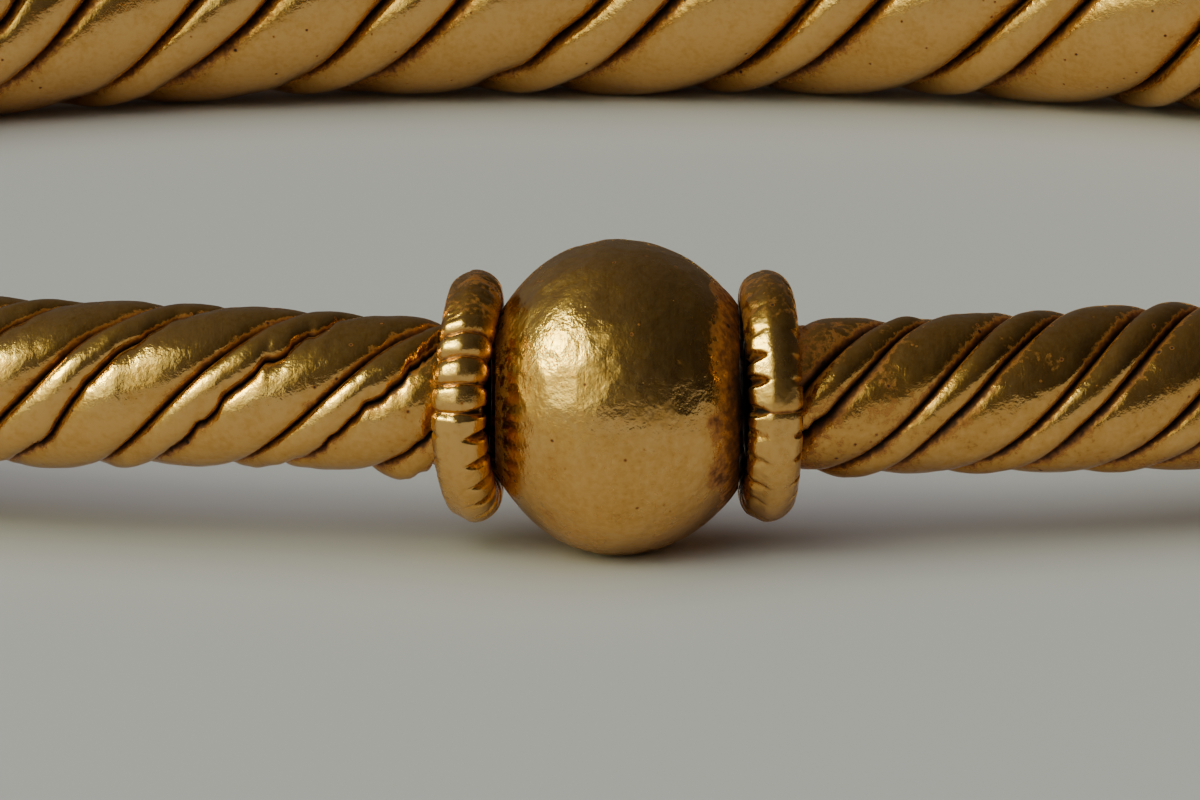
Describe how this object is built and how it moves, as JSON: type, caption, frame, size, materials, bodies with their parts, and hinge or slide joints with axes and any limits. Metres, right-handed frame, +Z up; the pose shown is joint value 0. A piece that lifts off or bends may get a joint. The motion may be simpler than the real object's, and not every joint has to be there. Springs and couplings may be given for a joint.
{
  "type": "twisted gold arm ring",
  "caption": "Oval arm ring of thick and thin gold rods twisted together, tapering to a closing ball between two notched wire collars; it lies flat.",
  "frame": {"origin": "middle of the footprint, on the surface that the ring lies on", "axes": "+Z up, -Y towards the closing ball, +Y towards the thickest part of the hoop, +X to the right when the ball is nearest"},
  "size_m": [0.0988, 0.0794, 0.0095],
  "materials": {
    "thick_rods": "satin",
    "thin_rods": "satin",
    "ball": "satin",
    "collars": "satin"
  },
  "bodies": {
    "root": {"thick_rod_1": "thick_rods", "thick_rod_2": "thick_rods", "thick_rod_3": "thick_rods", "thin_rod_1": "thin_rods", "thin_rod_2": "thin_rods", "thin_rod_3": "thin_rods", "ball": "ball", "left_collar": "collars", "right_collar": "collars"}
  },
  "joints": []
}
